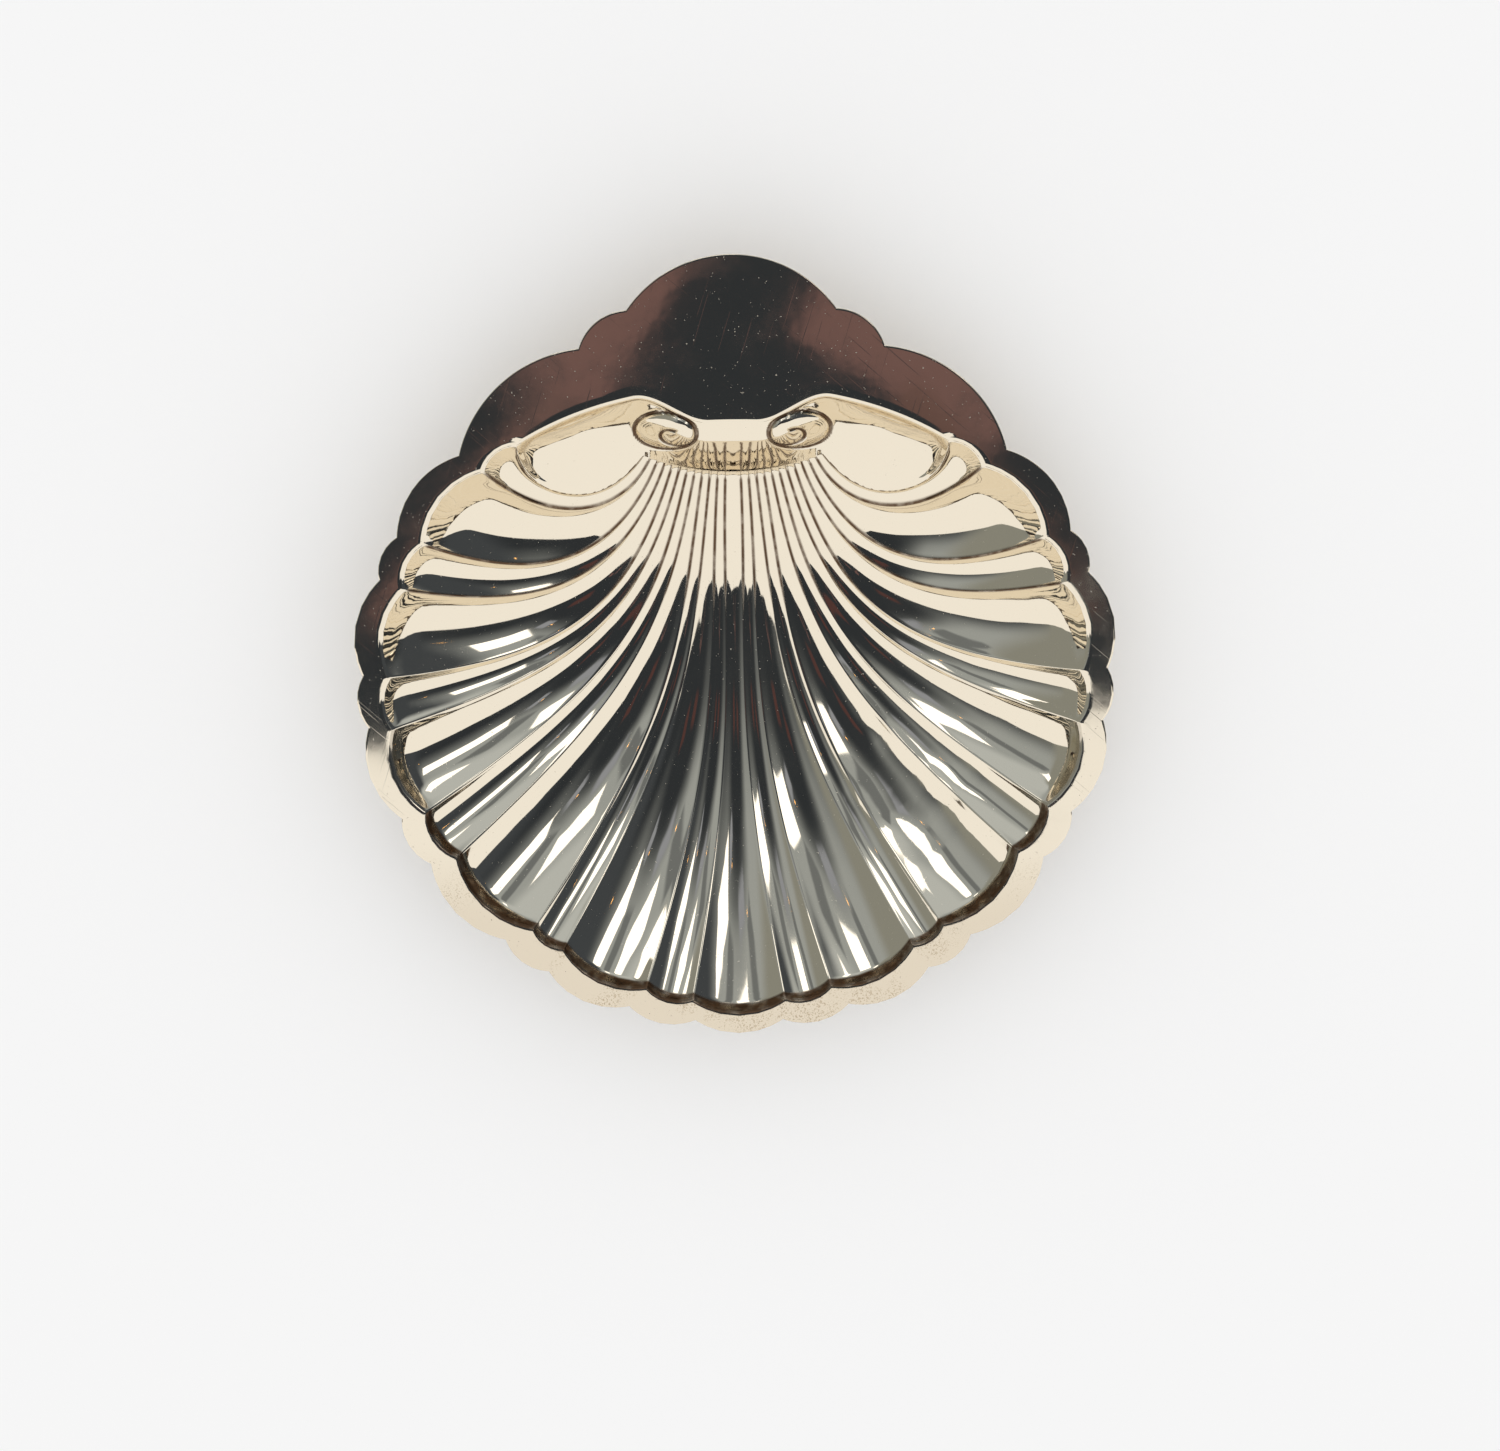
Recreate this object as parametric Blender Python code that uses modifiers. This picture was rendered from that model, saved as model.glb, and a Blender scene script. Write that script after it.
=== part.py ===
"""A serving dish pressed from one sheet of silver in the form of a scallop shell.

The dish lies on its belly, open side up, with the hinge tab toward +Y. The upper face of the sheet is laid
out as one open half, which is mirrored in the plane X = 0, thickened, and planed where it stands.
"""

import math

import bmesh
import bpy
from mathutils import Vector
from mathutils.geometry import delaunay_2d_cdt

MM = 0.001

# Sheet and bowl. Depths are measured down from the flat rim.
SHEET = 0.8 * MM
WELL_DEPTH = 28 * MM
BOWL_POWER = 2.3  # 2 is a parabola, and more is flatter in the middle
DEEPEST_Y = 7.5 * MM
FOOT_PLANED = 0.35 * MM

# Outline of the well, an egg with its own curve before and behind its widest line
WIDEST_Y = -15 * MM
WELL_HALF_WIDTH = 92 * MM
WELL_FRONT = 85 * MM
FRONT_POWER = 1.75
WELL_BACK = 82.5 * MM
BACK_POWER = 2.2
NOTCH_DEPTH = 8.7 * MM  # the straight dip between the two scrolls
NOTCH_FLAT = 6 * MM
NOTCH_END = 18.5 * MM

# Ridges fan out from the hinge arc and meet the edge of the well square to it.
HINGE_Y = 41.3 * MM
HINGE_PITCH = 2 * MM
HINGE_BEND = 55 * MM
RIDGE_ANGLES = (8.5, 17.2, 34.2, 40.8, 60, 69.5, 85, 93.7, 108.8, 117, 133, 140.6)  # degrees from the front
RIDGE_LEAVE = 0.35  # curve handles, as shares of the straight distance
RIDGE_ARRIVE_FRONT = 0.5
RIDGE_ARRIVE_BACK = 0.72
TOP_RIDGE_LEAVE = (0.395, -0.593)  # the last ridge swings down, out and back up, in the same shares
TOP_RIDGE_ARRIVE = (-0.03, 0.456)

# Hollows between the ridges, as shares of their width
HINGE_SAG = 0.07
FRONT_SAG = 0.11
SIDE_SAG = 0.17
SIDE_START = 6  # the flute from which the hollows are as deep as at the sides
SAG_GROWTH = 1.6  # how soon a flute reaches its full hollow on the way out
TOP_SAG = 0.2
TOP_LEAN = 0.4  # how much deeper the top hollow is at the back
LOBE_SAG = 0.16

# Edge of the well: a fillet, a steep wall and a blend into the flute
EDGE_RADIUS = 1.2 * MM
FLUTE_WALL = math.radians(68)
RIDGE_WALL = math.radians(36)
WALL_BLEND = 0.35
LEAST_DIP = 1 * MM  # the least hollow that the blend behind the hinge reckons with

# Cusps of the rim's outer edge, from the front to the tab. Most stand out from the end of a ridge, by so many
# rim widths to the right and back. The last two stand behind the back edge, at a share of the half width.
RIM_WIDTH = 5.5 * MM
RIDGE_CUSPS = (
    (1, -0.14, -0.92),
    (2, 0.82, -0.82),
    (3, 0.68, -1.03),
    (4, 1.31, -0.43),
    (5, 1.18, -0.27),
    (6, 1.09, -0.23),
    (7, 1.03, 0.1),
    (8, 1.11, 0.07),
    (9, 1, 0.43),
    (10, 1.11, 0.31),
    (12, 2.77, -0.64),
)
TAB_CUSPS = ((0.4315, 2.98), (0.2957, 4.13))
TAB = len(RIDGE_CUSPS) + len(TAB_CUSPS)  # the number of the tab, counting lobes from the front
TAB_RISE = 14.3 * MM  # its height over its cusps
SHARED_LOBE = 10  # the rim lobe that runs past two flutes, counted from the front
SHARED_AT = 0.66  # where the ridge between those two points, along the lobe

# Scrolls beside the hinge
SCROLL_X = 17.6 * MM
SCROLL_Y = 54.6 * MM
SCROLL_HALF_WIDTH = 8.2 * MM
SCROLL_HALF_HEIGHT = 5.7 * MM
SCROLL_RISE = 3.2 * MM
SCROLL_FACE = 0.85  # how much of a scroll the groove may cross
EYE_X = 15.4 * MM
EYE_Y = 54.3 * MM
EYE_RADIUS = 1.5 * MM
SPIRAL_SWEEP = 5 * MM
SPIRAL_FLATTEN = 0.7
SPIRAL_START = 180  # degrees from +X
SPIRAL_DEEP = 240  # the groove reaches its depth here
SPIRAL_END = 480
GROOVE_WIDTH = 1.4 * MM
GROOVE_DEPTH = 0.6 * MM

# Hinge step: a sloping tongue behind, then a steep wall down to the flutes
TONGUE_SHARE = 0.37
TONGUE_DROP = 0.26
STEP_INNER = 11 * MM
STEP_OUTER = 27 * MM
TOP_HOLLOW_START = 20 * MM
TOP_HOLLOW_FULL = 42 * MM

# How finely the face is laid out
EDGE_STEPS = (0, 0.5 * MM, 1.05 * MM, 1.8 * MM, 2.9 * MM)
LENGTH_STEPS = (0.06, 0.15, 0.25, 0.36, 0.48, 0.6, 0.72, 0.83, 0.92)  # shares of the way out from the hinge
NARROW_STEPS = 4
WIDE_STEPS = 6
WIDE_FLUTE = 18 * MM
NOTCH_PITCH = 1.6 * MM
BACK_PITCH = 3.4 * MM
TAB_LOBES = ((TAB - 2, 7, 1), (TAB - 1, 3, 1), (TAB, 6, 0.5))  # lobe, steps, share of it
STEP_ROWS = (0, 0.22, 0.45, 0.63, 1)
STEP_PITCH = 2 * MM
FIELD_PITCH = 4 * MM
CLOSEST = 0.3 * MM
SLOPE_STEP = 1 * MM
SPIRAL_POINTS = 13
SPIRAL_SPREAD = 1.2
SCROLL_POINTS = 24
CURVE_SAMPLES = 160

SILVER = (0.87, 0.80, 0.68, 1)


def smooth(share):
    share = min(max(share, 0), 1)
    return share * share * (3 - 2 * share)


def hollow(across):
    """Rises from 0 on a ridge to 1 midway to the next."""
    return 4 * across * (1 - across)


def mix(first, second, share):
    return first + (second - first) * share


def egg(x, y):
    """Less than 1 inside the outline of the well, without its lobes and notch."""
    rise = y - WIDEST_Y
    if rise > 0:
        return (abs(x) / WELL_HALF_WIDTH) ** BACK_POWER + (rise / WELL_BACK) ** BACK_POWER
    return (abs(x) / WELL_HALF_WIDTH) ** FRONT_POWER + (-rise / WELL_FRONT) ** FRONT_POWER


def reach(x, y):
    """Distance from the deepest place, as a share of the distance to the egg the same way."""
    low = 0.0001
    high = 4
    for _ in range(32):
        middle = (low + high) / 2
        if egg(x / middle, DEEPEST_Y + (y - DEEPEST_Y) / middle) < 1:
            high = middle
        else:
            low = middle
    return high


def bowl_depth(x, y, limit=1):
    return WELL_DEPTH * (1 - min(reach(x, y) / limit, 1) ** BOWL_POWER)


def egg_point(degrees):
    """The point of the egg at this angle from the front, seen from the middle of its widest line."""
    turn = math.radians(degrees)
    low = 0
    high = WELL_HALF_WIDTH + WELL_FRONT + WELL_BACK
    for _ in range(40):
        middle = (low + high) / 2
        if egg(middle * math.sin(turn), WIDEST_Y - middle * math.cos(turn)) < 1:
            low = middle
        else:
            high = middle
    return Vector((low * math.sin(turn), WIDEST_Y - low * math.cos(turn)))


def egg_normal(point):
    right = egg(point.x + SLOPE_STEP, point.y) - egg(point.x - SLOPE_STEP, point.y)
    back = egg(point.x, point.y + SLOPE_STEP) - egg(point.x, point.y - SLOPE_STEP)
    return Vector((right, back)).normalized()


def back_edge(x):
    """Y of the well's edge behind the hinge: the egg, with the notch between the scrolls."""
    side = (abs(x) / WELL_HALF_WIDTH) ** BACK_POWER
    egg_y = WIDEST_Y + WELL_BACK * (1 - side) ** (1 / BACK_POWER)
    return egg_y - NOTCH_DEPTH * (1 - smooth((abs(x) - NOTCH_FLAT) / (NOTCH_END - NOTCH_FLAT)))


def edge_tilt(x):
    """Slope of the back edge in plan."""
    return (back_edge(x + SLOPE_STEP) - back_edge(x - SLOPE_STEP)) / (2 * SLOPE_STEP)


def hinge_y(x):
    return HINGE_Y + x * x / (2 * HINGE_BEND)


def bezier(handles, share):
    a, b, c, d = handles
    rest = 1 - share
    return a * rest**3 + b * (3 * rest * rest * share) + c * (3 * rest * share * share) + d * share**3


def ridge_handles(index):
    """Control points of a ridge in plan. Ridge 0 is the mirror image of ridge 1, across the front flute."""
    if index == 0:
        return [Vector((-point.x, point.y)) for point in ridge_handles(1)]
    x = HINGE_PITCH * index
    start = Vector((x, hinge_y(x)))
    end = egg_point(RIDGE_ANGLES[index - 1])
    straight = (end - start).length
    if index == len(RIDGE_ANGLES):
        leave = Vector(TOP_RIDGE_LEAVE) * straight
        arrive = Vector(TOP_RIDGE_ARRIVE) * straight
        return [start, start + leave, end - arrive, end]
    away = Vector((x / HINGE_BEND, -1)).normalized()
    arrive = mix(RIDGE_ARRIVE_FRONT, RIDGE_ARRIVE_BACK, (index / len(RIDGE_ANGLES)) ** 2)
    return [
        start,
        start + away * straight * RIDGE_LEAVE,
        end - egg_normal(end) * straight * arrive,
        end,
    ]


def lobe_swell(chord, across):
    """How far an arc of this chord stands out from it."""
    sag = chord * LOBE_SAG
    radius = (chord * chord / 4 + sag * sag) / (2 * sag)
    return math.sqrt(radius**2 - (chord * (across - 0.5)) ** 2) - (radius - sag)


def column_handles(index, across):
    """Control points of a line that runs along a flute, at this share of the way from ridge to ridge."""
    near = ridge_handles(index)
    far = ridge_handles(index + 1)
    handles = [mix(a, b, across) for a, b in zip(near, far)]
    chord = far[3] - near[3]
    out = Vector((chord.y, -chord.x)).normalized()
    swell = out * lobe_swell(chord.length, across)
    handles[2] += swell
    handles[3] += swell
    return handles


def stations(handles):
    """Plan points along a curve, at EDGE_STEPS from its end, then evenly back to the hinge."""
    samples = [bezier(handles, step / CURVE_SAMPLES) for step in range(CURVE_SAMPLES + 1)]
    lengths = [0]
    for before, after in zip(samples[-1::-1], samples[-2::-1]):
        lengths.append(lengths[-1] + (after - before).length)
    samples.reverse()
    total = lengths[-1]
    open_length = total - EDGE_STEPS[-1]
    wanted = list(EDGE_STEPS) + [total - open_length * share for share in reversed(LENGTH_STEPS)] + [total]
    found = []
    at = 0
    for distance in wanted:
        while at < CURVE_SAMPLES - 1 and lengths[at + 1] < distance:
            at += 1
        part = (distance - lengths[at]) / (lengths[at + 1] - lengths[at])
        found.append((mix(samples[at], samples[at + 1], part), distance, 1 - distance / total))
    return found


def edge_drop(distance, slope):
    """Depth below the rim of the fillet and the wall, this far inside the edge of the well."""
    turned = EDGE_RADIUS * math.sin(slope)
    if distance < turned:
        return EDGE_RADIUS - math.sqrt(EDGE_RADIUS**2 - max(distance, 0) ** 2)
    return EDGE_RADIUS * (1 - math.cos(slope)) + (distance - turned) * math.tan(slope)


def soft_least(first, second, blend):
    if blend <= 0:
        return min(first, second)
    share = max(blend - abs(first - second), 0) / blend
    return min(first, second) - share * share * blend / 4


def flute_height(point, distance, along, place, width, limit):
    """Height at this place, which counts the flutes from the front and goes on from ridge to ridge."""
    across = place % 1
    full_sag = mix(FRONT_SAG, SIDE_SAG, smooth(place / SIDE_START))
    dip = width * mix(HINGE_SAG, full_sag, smooth(along * SAG_GROWTH)) * hollow(across)
    floor = bowl_depth(point.x, point.y, mix(1, limit, along**4)) + dip
    wall = edge_drop(distance, mix(RIDGE_WALL, FLUTE_WALL, math.sqrt(hollow(across))))
    return -soft_least(floor, wall, WALL_BLEND * dip)


def spiral_radius(degrees):
    share = (degrees - SPIRAL_START) / (SPIRAL_END - SPIRAL_START)
    return EYE_RADIUS + SPIRAL_SWEEP * math.cos(share * math.pi / 2) ** 2


def spiral_point(degrees, shift=0):
    turn = math.radians(degrees)
    radius = spiral_radius(degrees) + shift
    return Vector((EYE_X + radius * math.cos(turn), EYE_Y + radius * math.sin(turn) * SPIRAL_FLATTEN))


def groove_depth(x, y):
    """Depth of the spiral groove that winds into a scroll."""
    right = x - EYE_X
    back = (y - EYE_Y) / SPIRAL_FLATTEN
    radius = math.hypot(right, back)
    turn = math.degrees(math.atan2(back, right))
    depth = 0
    for degrees in (turn, turn + 360):
        if SPIRAL_START <= degrees <= SPIRAL_END:
            near = max(1 - 2 * abs(radius - spiral_radius(degrees)) / GROOVE_WIDTH, 0)
            depth = max(depth, near * smooth((degrees - SPIRAL_START) / (SPIRAL_DEEP - SPIRAL_START)))
    return GROOVE_DEPTH * depth


def scroll_square(x, y):
    """Squared distance from the middle of a scroll, 1 on its outline."""
    return ((x - SCROLL_X) / SCROLL_HALF_WIDTH) ** 2 + ((y - SCROLL_Y) / SCROLL_HALF_HEIGHT) ** 2


def scroll_rise(x, y):
    square = scroll_square(x, y)
    if square >= 1:
        return 0
    return SCROLL_RISE * (1 - square * square) - groove_depth(x, y)


def field_start(x):
    """Y of the lower edge of the field behind the fan: the hinge arc, then the last ridge."""
    handles = ridge_handles(len(RIDGE_ANGLES))
    if x <= handles[0].x:
        return hinge_y(x)
    low = 0
    high = 1
    for _ in range(30):
        middle = (low + high) / 2
        if bezier(handles, middle).x < x:
            low = middle
        else:
            high = middle
    return bezier(handles, low).y


def step_share(up):
    """Depth down the hinge step, as a share of the depth at its foot."""
    if up > 1 - TONGUE_SHARE:
        return TONGUE_DROP * (1 - up) / TONGUE_SHARE
    return mix(1, TONGUE_DROP, up / (1 - TONGUE_SHARE))


def field_height(x, y):
    """Height of the field behind the fan: the tongue and step, the scrolls and the top hollow beside them."""
    low = field_start(x)
    high = back_edge(x)
    width = max(high - low, CLOSEST)
    up = min(max((y - low) / width, 0), 1)
    bowl = bowl_depth(x, y)
    step = bowl_depth(x, low) * step_share(up)
    floor = mix(step, bowl, smooth((x - STEP_INNER) / (STEP_OUTER - STEP_INNER)))
    floor -= scroll_rise(x, y)
    past = smooth((x - TOP_HOLLOW_START) / (TOP_HOLLOW_FULL - TOP_HOLLOW_START))
    dip = TOP_SAG * width * past * (hollow(up) + TOP_LEAN * up * up)
    slope = mix(RIDGE_WALL, FLUTE_WALL, min(width / (WELL_DEPTH / 2), 1))
    distance = (high - y) / math.hypot(1, edge_tilt(x))
    return -soft_least(floor + dip, edge_drop(distance, slope), WALL_BLEND * (dip + LEAST_DIP))


def stitch(mesh, near, far):
    """Faces between two rows of (share, vertex), which may hold different numbers of points."""
    i = 0
    j = 0
    while i < len(near) - 1 or j < len(far) - 1:
        next_near = near[i + 1][0] if i < len(near) - 1 else 9
        next_far = far[j + 1][0] if j < len(far) - 1 else 9
        if abs(next_near - next_far) < 1e-6:
            mesh.faces.new((near[i][1], near[i + 1][1], far[j + 1][1], far[j][1]))
            i += 1
            j += 1
        elif next_near < next_far:
            mesh.faces.new((near[i][1], near[i + 1][1], far[j][1]))
            i += 1
        else:
            mesh.faces.new((near[i][1], far[j + 1][1], far[j][1]))
            j += 1


def flute_shares(index):
    """Shares of a flute's width at which its columns run. The front flute is only half there."""
    ends = egg_point(RIDGE_ANGLES[index]) - (
        egg_point(RIDGE_ANGLES[index - 1]) if index else Vector((-egg_point(RIDGE_ANGLES[0]).x, 0))
    )
    if index == 0:
        return [0.5 + 0.5 * step * 2 / WIDE_STEPS for step in range(WIDE_STEPS // 2 + 1)]
    steps = WIDE_STEPS if ends.length > WIDE_FLUTE else NARROW_STEPS
    return [step / steps for step in range(steps + 1)]


def build_fan(mesh):
    """The flutes from the edge of the well in to the hinge arc, as rows of (share, vertex)."""
    ring_count = len(EDGE_STEPS) + len(LENGTH_STEPS) + 1
    rings = [[] for _ in range(ring_count)]
    for index in range(len(RIDGE_ANGLES)):
        near = stations(ridge_handles(index))
        far = stations(ridge_handles(index + 1))
        shares = flute_shares(index)
        for across in shares if index == 0 else shares[1:]:
            column = stations(column_handles(index, across))
            edge = column[0][0]
            limit = max(reach(edge.x, edge.y), 1)
            for ring, (point, distance, along) in enumerate(column):
                at_hinge = ring == ring_count - 1
                if at_hinge and across not in (0.5, 1):
                    continue
                span = far[ring][0] - near[ring][0]
                ahead = column[max(ring - 1, 0)][0] - column[min(ring + 1, ring_count - 1)][0]
                width = abs(span.cross(ahead.normalized()))
                height = flute_height(point, distance, along, index + across, width, limit)
                rings[ring].append((index + across, mesh.verts.new((point.x, point.y, height))))
    for outer, inner in zip(rings, rings[1:]):
        stitch(mesh, outer, inner)
    return rings


def oval():
    """Points round a scroll's outline."""
    points = []
    for step in range(SCROLL_POINTS + 1):
        turn = 2 * math.pi * step / SCROLL_POINTS
        x = SCROLL_X + SCROLL_HALF_WIDTH * math.cos(turn)
        points.append(Vector((x, SCROLL_Y + SCROLL_HALF_HEIGHT * math.sin(turn))))
    return points


def edge_chains(last_column):
    """Rows of points that follow the back edge of the well, from the last ridge to the middle."""
    end = last_column[0].co.x
    scroll_end = SCROLL_X + SCROLL_HALF_WIDTH
    notch_count = round(scroll_end / NOTCH_PITCH)
    back_count = round((end - scroll_end) / BACK_PITCH)
    spots = [mix(end, scroll_end, step / back_count) for step in range(1, back_count)]
    spots += [scroll_end * step / notch_count for step in range(notch_count, -1, -1)]
    rows = []
    for distance, corner in zip(EDGE_STEPS, last_column):
        row = [corner.co.xy]
        for x in spots:
            if distance == EDGE_STEPS[-1] and x < scroll_end:
                break
            inward = Vector((edge_tilt(x), -1)).normalized() if x else Vector((0, -1))
            point = Vector((x, back_edge(x))) + inward * distance
            if point.y > field_start(min(point.x, end)) + distance / 2:
                row.append(point)
        rows.append(row)
    return rows


def scroll_chains():
    """The outline of a scroll, and the middle and both sides of the groove that winds into it."""
    chains = [oval()]
    for shift in (0, -GROOVE_WIDTH / 2, GROOVE_WIDTH / 2):
        row = []
        for step in range(SPIRAL_POINTS + 1):
            degrees = mix(SPIRAL_START, SPIRAL_END, (step / SPIRAL_POINTS) ** SPIRAL_SPREAD)
            point = spiral_point(degrees, shift)
            if scroll_square(point.x, point.y) < SCROLL_FACE:
                row.append(point)
        chains.append(row)
    return chains


def field_layout(rings):
    """Plan points of the field behind the fan, and the chains of them that stay edges."""
    last_column = [ring[-1][1] for ring in rings]
    points = []

    def place(point):
        for index, other in enumerate(points):
            if (other - point).length < CLOSEST:
                return index
        points.append(point)
        return len(points) - 1

    def fill(x, pitch, count):
        low = field_start(x)
        high = back_edge(x) - EDGE_STEPS[-1]
        for step in range(1, count):
            spot = Vector((x, mix(low, high, step / count)))
            if all((spot - other).length > pitch / 2 for other in points):
                points.append(spot)

    middle = [Vector((0, mix(HINGE_Y, back_edge(0), share))) for share in STEP_ROWS]
    rows = [[vertex.co.xy for _, vertex in rings[-1]], [vertex.co.xy for vertex in last_column]]
    rows += edge_chains(last_column)
    rows.append(middle)
    for share in STEP_ROWS[1:-1]:
        spots = [NOTCH_FLAT * step / 3 for step in range(4)]
        rows.append([Vector((x, mix(hinge_y(x), back_edge(x), share))) for x in spots])
    rows += scroll_chains()
    chains = [[place(point) for point in row] for row in rows]
    hinge_end = HINGE_PITCH * len(RIDGE_ANGLES)
    x = NOTCH_FLAT + STEP_PITCH
    while x < hinge_end:
        fill(x, STEP_PITCH, round((back_edge(x) - field_start(x)) / STEP_PITCH))
        x += STEP_PITCH
    while x < last_column[0].co.x:
        fill(x, FIELD_PITCH, round((back_edge(x) - field_start(x)) / FIELD_PITCH))
        x += FIELD_PITCH
    return points, chains


def build_field(mesh, rings):
    """The field behind the fan, triangulated between the hinge arc, the last ridge and the back edge."""
    points, chains = field_layout(rings)
    edges = [pair for chain in chains for pair in zip(chain, chain[1:]) if pair[0] != pair[1]]
    flat, _, faces, _, _, _ = delaunay_2d_cdt(points, edges, [], 1, 1e-9)
    shared = [ring[-1][1] for ring in rings] + [vertex for _, vertex in rings[-1]]
    vertices = []
    for point in flat:
        vertex = min(shared, key=lambda item: (item.co.xy - point).length)
        if (vertex.co.xy - point).length > CLOSEST / 10:
            vertex = mesh.verts.new((point.x, point.y, field_height(point.x, point.y)))
        vertices.append(vertex)
    for face in faces:
        mesh.faces.new([vertices[index] for index in face])
    return [vertex for vertex in vertices if abs(vertex.co.y - back_edge(vertex.co.x)) < CLOSEST / 10]


def arc(first, last, rise, share):
    """A point of the arc from first to last that stands out by rise midway."""
    chord = last - first
    out = Vector((chord.y, -chord.x)).normalized()
    radius = (chord.length_squared / 4 + rise * rise) / (2 * rise)
    half_turn = math.asin(chord.length / 2 / radius)
    turn = mix(-half_turn, half_turn, share)
    along = chord.normalized() * radius * math.sin(turn)
    return (first + last) / 2 + along + out * (radius * math.cos(turn) - radius + rise)


def rim_cusp(index):
    if index < len(RIDGE_CUSPS):
        ridge, right, back = RIDGE_CUSPS[index]
        return egg_point(RIDGE_ANGLES[ridge - 1]) + Vector((right, back)) * RIM_WIDTH
    across, back = TAB_CUSPS[index - len(RIDGE_CUSPS)]
    x = across * WELL_HALF_WIDTH
    return Vector((x, back_edge(x) + back * RIM_WIDTH))


def rim_lobe(index, share):
    """A point of the rim's outer edge on the lobe before this cusp. Past the last cusp it is the tab."""
    if index == TAB:
        first = rim_cusp(TAB - 1)
        return arc(first, Vector((-first.x, first.y)), TAB_RISE, share)
    last = rim_cusp(index)
    first = rim_cusp(index - 1) if index else Vector((-last.x, last.y))
    return arc(first, last, (last - first).length * LOBE_SAG, share)


def build_rim(mesh, front_row, back_row):
    """The flat rim, from the edge of the well out to the lobes."""
    outer = []
    for share, _ in front_row:
        index = min(int(share), len(RIDGE_ANGLES) - 1)
        across = share - index
        if index == SHARED_LOBE:
            across *= SHARED_AT
        elif index > SHARED_LOBE:
            across = mix(SHARED_AT, 1, across)
            index = SHARED_LOBE
        point = rim_lobe(index, across)
        outer.append((share, mesh.verts.new((point.x, point.y, 0))))
    stitch(mesh, outer, front_row)
    route = [outer[-1][1]]
    for index, steps, share in TAB_LOBES:
        for step in range(1, steps + 1):
            point = rim_lobe(index, share * step / steps)
            route.append(mesh.verts.new((point.x, point.y, 0)))
    back_row = sorted(back_row, key=lambda vertex: -vertex.co.x)
    rows = []
    for row in (route, back_row):
        lengths = [0]
        for before, after in zip(row, row[1:]):
            lengths.append(lengths[-1] + (after.co - before.co).length)
        rows.append([(length / lengths[-1], vertex) for length, vertex in zip(lengths, row)])
    stitch(mesh, *rows)


def build_half():
    """The upper face of the sheet on the side toward +X."""
    mesh = bmesh.new()
    rings = build_fan(mesh)
    back_row = build_field(mesh, rings)
    build_rim(mesh, rings[0], back_row)
    for vertex in mesh.verts:
        if abs(vertex.co.x) < CLOSEST / 10:
            vertex.co.x = 0
    return mesh


def clear_scene():
    for item in list(bpy.data.objects):
        bpy.data.objects.remove(item, do_unlink=True)


def silver():
    material = bpy.data.materials.new("silver")
    material.use_nodes = True
    shader = material.node_tree.nodes["Principled BSDF"]
    shader.inputs["Base Color"].default_value = SILVER
    shader.inputs["Metallic"].default_value = 1
    shader.inputs["Roughness"].default_value = 0.08
    return material


def main():
    clear_scene()
    dish_parts = bpy.data.collections.new("shell_shaped_bowl")
    cutters = bpy.data.collections.new("cutters")
    bpy.context.scene.collection.children.link(dish_parts)
    bpy.context.scene.collection.children.link(cutters)

    half = build_half()
    lowest = min(vertex.co.z for vertex in half.verts)
    front = rim_lobe(0, 0.5).y
    back = rim_lobe(TAB, 0.5).y
    shift = Vector((0, -(front + back) / 2, SHEET - FOOT_PLANED - lowest))
    bmesh.ops.translate(half, verts=half.verts, vec=shift)
    data = bpy.data.meshes.new("shell_bowl")
    half.to_mesh(data)
    half.free()
    data.materials.append(silver())
    data.shade_smooth()
    data.set_sharp_from_angle(angle=math.radians(25))
    dish = bpy.data.objects.new("shell_bowl", data)
    dish_parts.objects.link(dish)

    mirror = dish.modifiers.new("both halves", "MIRROR")
    mirror.merge_threshold = CLOSEST / 10
    sheet = dish.modifiers.new("sheet", "SOLIDIFY")
    sheet.thickness = SHEET
    sheet.offset = -1

    length = back - front
    bpy.ops.mesh.primitive_cube_add(size=1, location=(0, 0, -WELL_DEPTH / 2))
    ground = bpy.context.object
    ground.name = "ground"
    ground.scale = (length, length, WELL_DEPTH)
    bpy.ops.object.transform_apply(location=False, rotation=False, scale=True)
    for collection in ground.users_collection:
        collection.objects.unlink(ground)
    cutters.objects.link(ground)
    ground.hide_render = True
    ground.display_type = "WIRE"
    planed = dish.modifiers.new("planed foot", "BOOLEAN")
    planed.operation = "DIFFERENCE"
    planed.object = ground


main()
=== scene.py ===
import math

import bpy
import numpy as np
from mathutils import Matrix, Vector


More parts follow.
